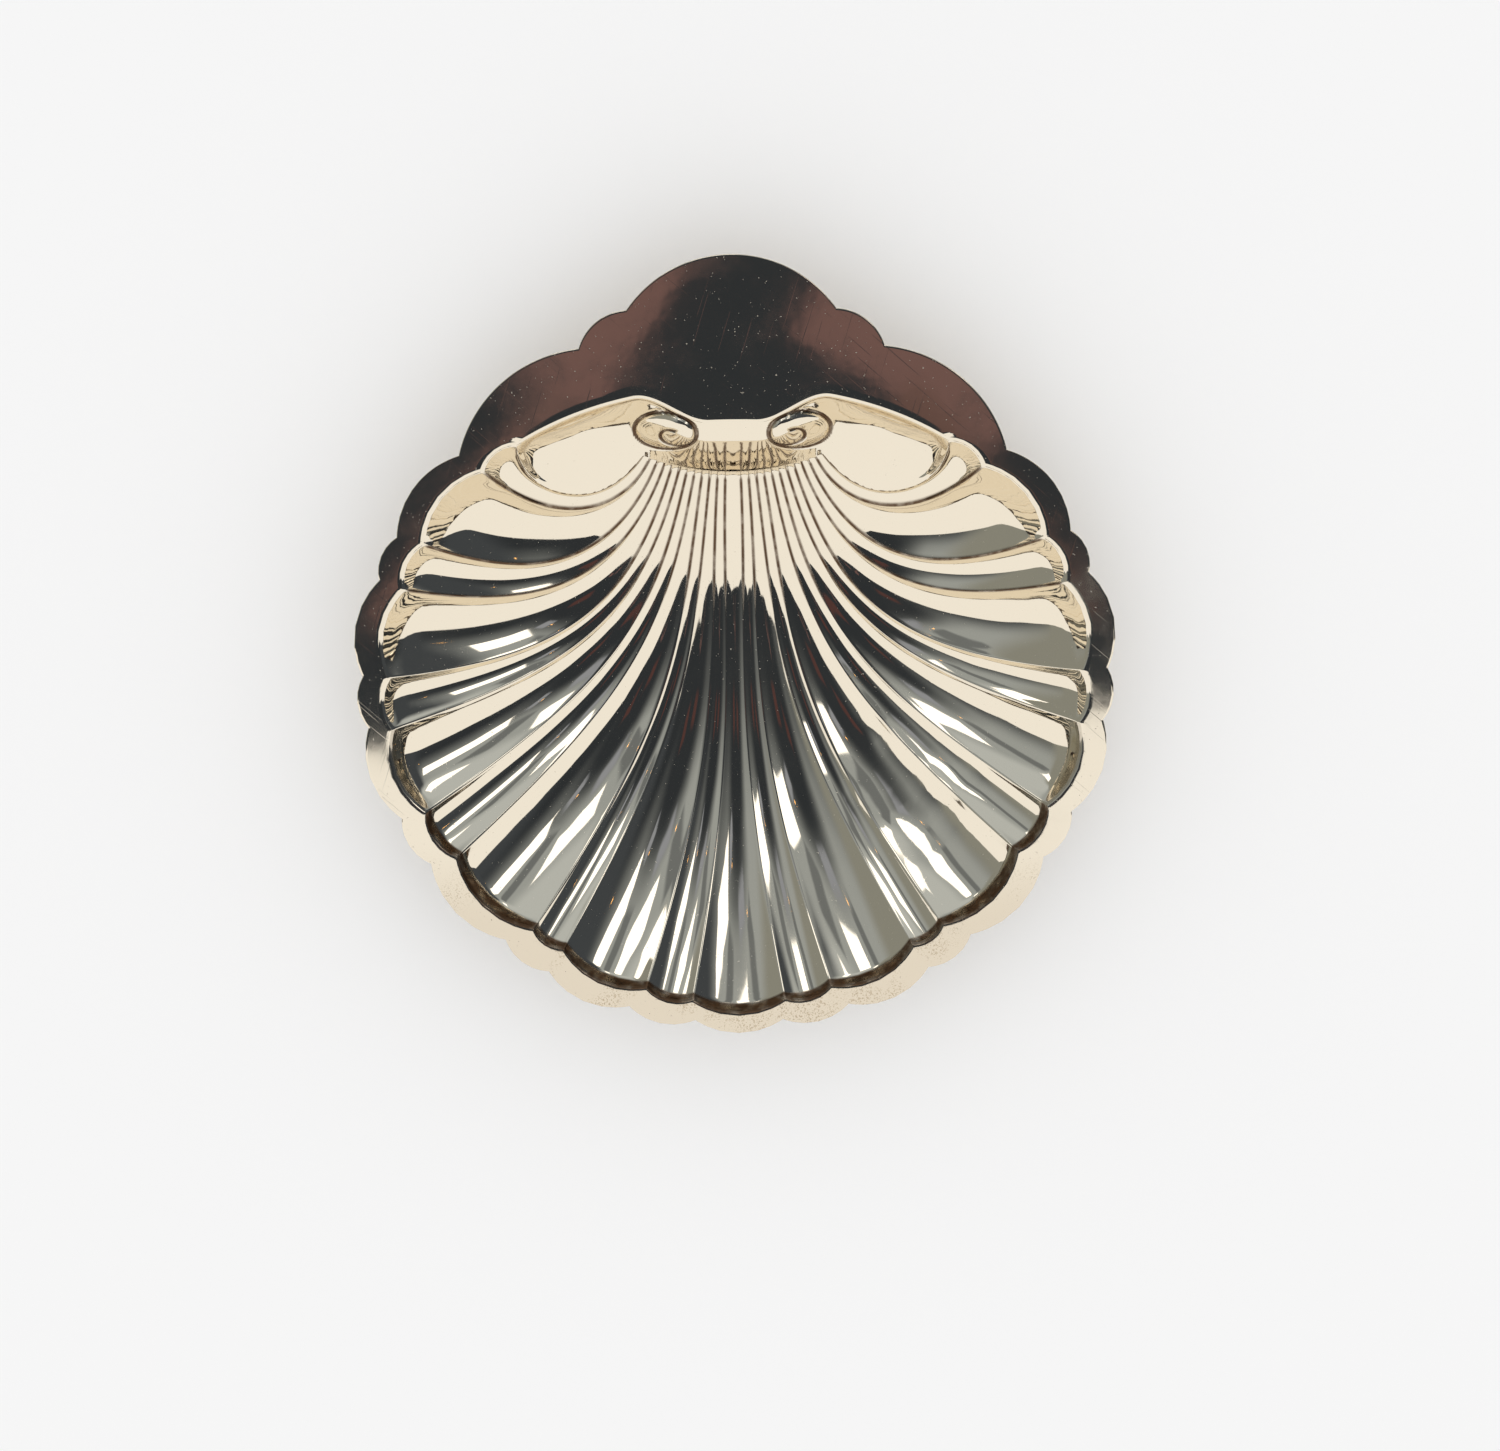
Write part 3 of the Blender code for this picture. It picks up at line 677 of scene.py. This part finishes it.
def silverMaterial():
    material = bpy.data.materials.new("polishedSilver")
    material.use_nodes = True
    tree = material.node_tree
    shader = tree.nodes["Principled BSDF"]
    place = tree.nodes.new("ShaderNodeTexCoord").outputs["Object"]
    parts = addNode(tree, "ShaderNodeSeparateXYZ", {0: place})
    shadeAndPatinaMask = addNode(tree, "ShaderNodeAttribute", {}, attribute_name="shadeAndPatinaMask").outputs["Fac"]

    def noise(scale, detail, roughness=0.5, vector=place):
        wanted = {"Vector": vector, "Scale": scale, "Detail": detail, "Roughness": roughness}
        return addNode(tree, "ShaderNodeTexNoise", wanted).outputs["Fac"]

    def times(first, second):
        return calc(tree, "MULTIPLY", first, second)

    def byDepth(depths):  # grows toward the top of the dish
        return fade(tree, parts.outputs["Z"], cadHigh[2] - depths[0], cadHigh[2] - depths[1])

    # brown, partly patina and partly painted shade, in the creases by the hinge and in the scrolls; painted
    # shade alone under the front of the rim, in place of the dark room it reflects
    onRim = byDepth(silverLook["flatDepths"])
    shadeAndPatinaLine = fade(tree, shadeAndPatinaMask, *silverLook["shadeMaskEnds"])
    shadeAndPatina = times(shadeAndPatinaLine, fade(tree, noise(silverLook["shadeAndPatinaScale"], 3), *silverLook["shadeAndPatinaEnds"]))

    # tarnish speckles on the front of the rim, which is also darkened evenly toward the tarnish colour
    speckles = fade(tree, noise(silverLook["speckleScale"], 4, 0.6), *silverLook["speckleEnds"])
    clouds = fade(tree, noise(silverLook["cloudScale"], 3), *silverLook["cloudEnds"])
    frontRim = times(fade(tree, parts.outputs["Y"], *silverLook["frontEnds"]), onRim)
    tarnish = times(times(speckles, clouds), frontRim)
    speckled = times(tarnish, silverLook["speckleShare"])
    frontDarkening = calc(tree, "MAXIMUM", speckled, times(frontRim, silverLook["frontDarkShare"]))
    colour = blend(tree, frontDarkening, silverLook["colour"], silverLook["tarnish"])
    colour = blend(tree, shadeAndPatina, colour, silverLook["shadeAndPatina"])
    tree.links.new(colour, shader.inputs["Base Color"])
    shader.inputs["Metallic"].default_value = 1

    # smudges and dust
    dust = fade(tree, noise(silverLook["dustScale"], 1), *silverLook["dustEnds"])
    smudges = noise(silverLook["smudgeScale"], 5, 0.65)
    rough = fade(tree, smudges, *silverLook["smudgeEnds"], *silverLook["roughness"])
    worn = calc(tree, "MAXIMUM", times(tarnish, silverLook["speckleRoughness"]), shadeAndPatina)
    worn = times(calc(tree, "MAXIMUM", worn, dust), silverLook["wornRoughness"])
    tree.links.new(calc(tree, "ADD", rough, worn), shader.inputs["Roughness"])

    # waves of the pressed sheet, chatter on the steep walls, fine polishing scratches
    inWell = fade(tree, onRim, 0, 1, 1, silverLook["flatShare"])
    waves = times(noise(silverLook["waveScale"], 1.5, 0.4), silverLook["waves"])
    sideward = fade(tree, parts.outputs["Y"], *silverLook["chatterEnds"])
    nearWall = times(byDepth(silverLook["chatterDepths"]), sideward)
    chatter = times(times(noise(silverLook["chatterScale"], 1, 0.4), nearWall), silverLook["chatter"])
    height = times(calc(tree, "ADD", waves, chatter), inWell)
    for turn, offset, scale in silverLook["scratches"]:
        turned = {"Vector": place, "Rotation": (0, 0, turn), "Location": (offset, 0, 0)}
        turned = addNode(tree, "ShaderNodeMapping", turned).outputs[0]
        length = silverLook["scratchLength"]
        stretched = {"Vector": turned, "Scale": (scale, length, length)}
        stretched = addNode(tree, "ShaderNodeMapping", stretched).outputs[0]
        lines = noise(1, 2, vector=stretched)
        deep = fade(tree, lines, *silverLook["scratchEnds"], 0, silverLook["scratch"])
        height = calc(tree, "SUBTRACT", height, deep)
    bump = addNode(tree, "ShaderNodeBump", {"Height": height, "Strength": 1, "Distance": 1})
    tree.links.new(bump.outputs["Normal"], shader.inputs["Normal"])
    return material


dish.data.materials.clear()
dish.data.materials.append(silverMaterial())
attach(dish, "root")
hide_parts("shell_bowl")
print("silver laid on")


room = {
    "floorSize": 6,
    "floorColour": (0.925, 0.925, 0.925, 1),
    "floorRoughness": 0.9,
    "gap": 0.0001,  # between the dish and the floor
}

bpy.ops.object.select_all(action="DESELECT")
bpy.ops.mesh.primitive_plane_add(size=room["floorSize"], location=(0, 0, cadLow[2] - room["gap"]))
floor = bpy.context.object
floor.name = "paleFloor"
floorMaterial = bpy.data.materials.new("paleFloor")
floorMaterial.use_nodes = True
floorShader = floorMaterial.node_tree.nodes["Principled BSDF"]
floorShader.inputs["Base Color"].default_value = room["floorColour"]
floorShader.inputs["Roughness"].default_value = room["floorRoughness"]
floorShader.inputs["Specular IOR Level"].default_value = 0
floor.data.materials.append(floorMaterial)


studio = {
    "ceiling": (0.03, 0.036, 0.045, 1),
    "wall": (0.36, 0.4, 0.43, 1),
    "wallStart": (16, 36),  # degrees from straight above
    "wallSide": (-0.25, 0.97, 0),  # where the wall stands, and how it fades toward the table
    "wallEnds": (-0.25, 0.45),
    "table": (1, 1, 1, 1),
    "tableTilt": 10,  # degrees
    "tableWide": 5,  # half width and depth of the table, in heights of the dish over it
    "tableWideSoft": 0.2,
    "tableFar": 19,
    "tableFarSoft": 0.25,
    "tableSkew": 0.9,
    "nearZero": 0.001,
    "behind": 0.05,
}

patches = (  # degrees down from above, round from the right, turn, half sizes, soft edges; colour
    (62, 90, 0, 45, 13, 8, 12, (0.52, 0.57, 0.61)),  # bright lower wall
    (70, 165, 0, 45, 20, 14, 16, (0.27, 0.285, 0.27)),  # sides of the room
    (68, 18, 0, 34, 18, 14, 18, (0.055, 0.065, 0.08)),
    (39, 38, -18, 6, 9, 1, 1, (1.8, 1.8, 1.8)),  # softboxes
    (41, 100, 4, 9, 5.5, 1, 1, (1.8, 1.8, 1.8)),
    (59, 124, 0, 4, 5, 1, 1, (1.8, 1.8, 1.8)),
    (60, 68, 0, 4, 6, 1, 1, (1.8, 1.8, 1.8)),
    (40, 66, 0, 5, 8, 3, 3, (0.17, 0.19, 0.21)),  # dimmer gaps
    (42, 131, 0, 4, 9, 3, 3, (0.17, 0.19, 0.21)),
    (27, 108, 0, 6, 3.5, 4, 4, (0.3, 0.33, 0.4)),  # pale glow
    (24, 45, 0, 3, 3, 2, 2, (0.3, 0.33, 0.4)),
    (8.11, -100.8, -22, 0.7, 1.25, 0.12, 0.2, (0.18, 0.108, 0.108)),  # brown beams
    (8.98, -76.4, 46, 0.5, 1.35, 0.12, 0.2, (0.18, 0.108, 0.108)),
    (10.9, -106.1, -23, 0.25, 1.7, 0.15, 0.3, (0.16, 0.1, 0.098)),
    (10.9, -73.9, 23, 0.25, 1.7, 0.15, 0.3, (0.14, 0.085, 0.08)),
    (9, 170, 0, 2.5, 4, 2.5, 2.5, (0.09, 0.045, 0.045)),
    (9, 5, 0, 3, 4, 2.5, 2.5, (0.09, 0.045, 0.045)),
    (24.3, 55, 0, 0.35, 0.35, 0.1, 0.1, (3, 1.6, 0.5)),  # small warm lamps
    (32, 128, 0, 0.35, 0.35, 0.1, 0.1, (3, 1.6, 0.5)),
    (49.5, 12, 0, 0.35, 0.35, 0.1, 0.1, (3, 1.6, 0.5)),
)

world = bpy.data.worlds.new("studio")
bpy.context.scene.world = world
world.use_nodes = True
sky = world.node_tree
sky.nodes.clear()
ray = sky.nodes.new("ShaderNodeTexCoord").outputs["Generated"]


def rayAlong(axis):
    both = {0: ray, 1: tuple(axis)}
    return addNode(sky, "ShaderNodeVectorMath", both, operation="DOT_PRODUCT").outputs["Value"]


def softPatch(down, around, turn, halfWide, halfHigh, softWide, softHigh):  # 1 inside a patch of light
    down, around, turn = (math.radians(value) for value in (down, around, turn))
    centre = Vector((math.sin(down) * math.cos(around), math.sin(down) * math.sin(around), math.cos(down)))
    level = Vector((0, 0, 1)).cross(centre).normalized()
    raised = centre.cross(level)
    across = level * math.cos(turn) + raised * math.sin(turn)
    up = raised * math.cos(turn) - level * math.sin(turn)
    ahead = rayAlong(centre)
    near = calc(sky, "MAXIMUM", ahead, studio["nearZero"])
    share = calc(sky, "GREATER_THAN", ahead, studio["behind"])
    for axis, half, soft in ((across, halfWide, softWide), (up, halfHigh, softHigh)):
        place = calc(sky, "ABSOLUTE", calc(sky, "DIVIDE", rayAlong(axis), near))
        half = math.tan(math.radians(half))
        soft = math.tan(math.radians(soft)) / 2
        share = calc(sky, "MULTIPLY", share, fade(sky, place, half + soft, half - soft))
    return share


wallStart, wallEnd = (math.cos(math.radians(value)) for value in studio["wallStart"])
lowEnough = fade(sky, rayAlong((0, 0, 1)), wallStart, wallEnd)
wallShare = calc(sky, "MULTIPLY", lowEnough, fade(sky, rayAlong(studio["wallSide"]), *studio["wallEnds"]))
light = blend(sky, wallShare, studio["ceiling"], studio["wall"])
for down, around, turn, halfWide, halfHigh, softWide, softHigh, colour in patches:
    share = softPatch(down, around, turn, halfWide, halfHigh, softWide, softHigh)
    light = blend(sky, share, light, (*colour, 1))

tilt = math.radians(studio["tableTilt"])
drop = calc(sky, "MAXIMUM", rayAlong((0, -math.cos(tilt), -math.sin(tilt))), studio["nearZero"])
sideways = calc(sky, "DIVIDE", rayAlong((1, 0, 0)), drop)
forwards = calc(sky, "DIVIDE", rayAlong((0, -math.sin(tilt), math.cos(tilt))), drop)
skewed = calc(sky, "SUBTRACT", forwards, calc(sky, "MULTIPLY", sideways, studio["tableSkew"]))
onTable = calc(sky, "GREATER_THAN", drop, 2 * studio["nearZero"])
for place, size in ((calc(sky, "ABSOLUTE", sideways), "tableWide"), (skewed, "tableFar")):
    soft = studio[size + "Soft"]
    onTable = calc(sky, "MULTIPLY", onTable, fade(sky, place, studio[size] + soft, studio[size] - soft))
light = blend(sky, onTable, light, studio["table"])
path = sky.nodes.new("ShaderNodeLightPath")
plain = addNode(sky, "ShaderNodeBackground", {"Color": (1, 1, 1, 1)})
mirrored = addNode(sky, "ShaderNodeBackground", {"Color": light})
both = {0: path.outputs["Is Glossy Ray"], 1: plain.outputs[0], 2: mirrored.outputs[0]}
both = addNode(sky, "ShaderNodeMixShader", both).outputs[0]
addNode(sky, "ShaderNodeOutputWorld", {"Surface": both})
print("studio lit with", len(patches), "patches")


view = {
    "tilt": math.radians(12),
    "roll": math.radians(-0.645),
    "distance": 1.3,
    "lens": 118.85,
    "sensor": 36,
    "focalPixels": 4952,
    "offset": (-15.1, 85),  # where the middle of the dish stands in the picture, in pixels from its centre
}

middle = Vector((0, -(front + back) / 2 * mm, cadHigh[2]))
backward = Vector((0, math.sin(view["tilt"]), math.cos(view["tilt"])))
upward = Vector((0, math.cos(view["tilt"]), -math.sin(view["tilt"])))
right = Vector((1, 0, 0))
rolledRight = right * math.cos(view["roll"]) + upward * math.sin(view["roll"])
rolledUp = upward * math.cos(view["roll"]) - right * math.sin(view["roll"])
aim = -backward
for direction, pixels in zip((rolledRight, rolledUp), view["offset"]):
    aim -= direction * pixels / view["focalPixels"]
aim.normalize()
side = aim.cross(rolledUp).normalized()
top = side.cross(aim)
cameraData = bpy.data.cameras.new("camera")
cameraData.lens = view["lens"]
cameraData.sensor_width = view["sensor"]
camera = bpy.data.objects.new("camera", cameraData)
bpy.context.scene.collection.objects.link(camera)
turned = Matrix((side, top, -aim)).transposed().to_4x4()
camera.matrix_world = Matrix.Translation(middle + backward * view["distance"]) @ turned
bpy.context.scene.camera = camera
bpy.context.scene.view_settings.view_transform = "Standard"
print("camera set")
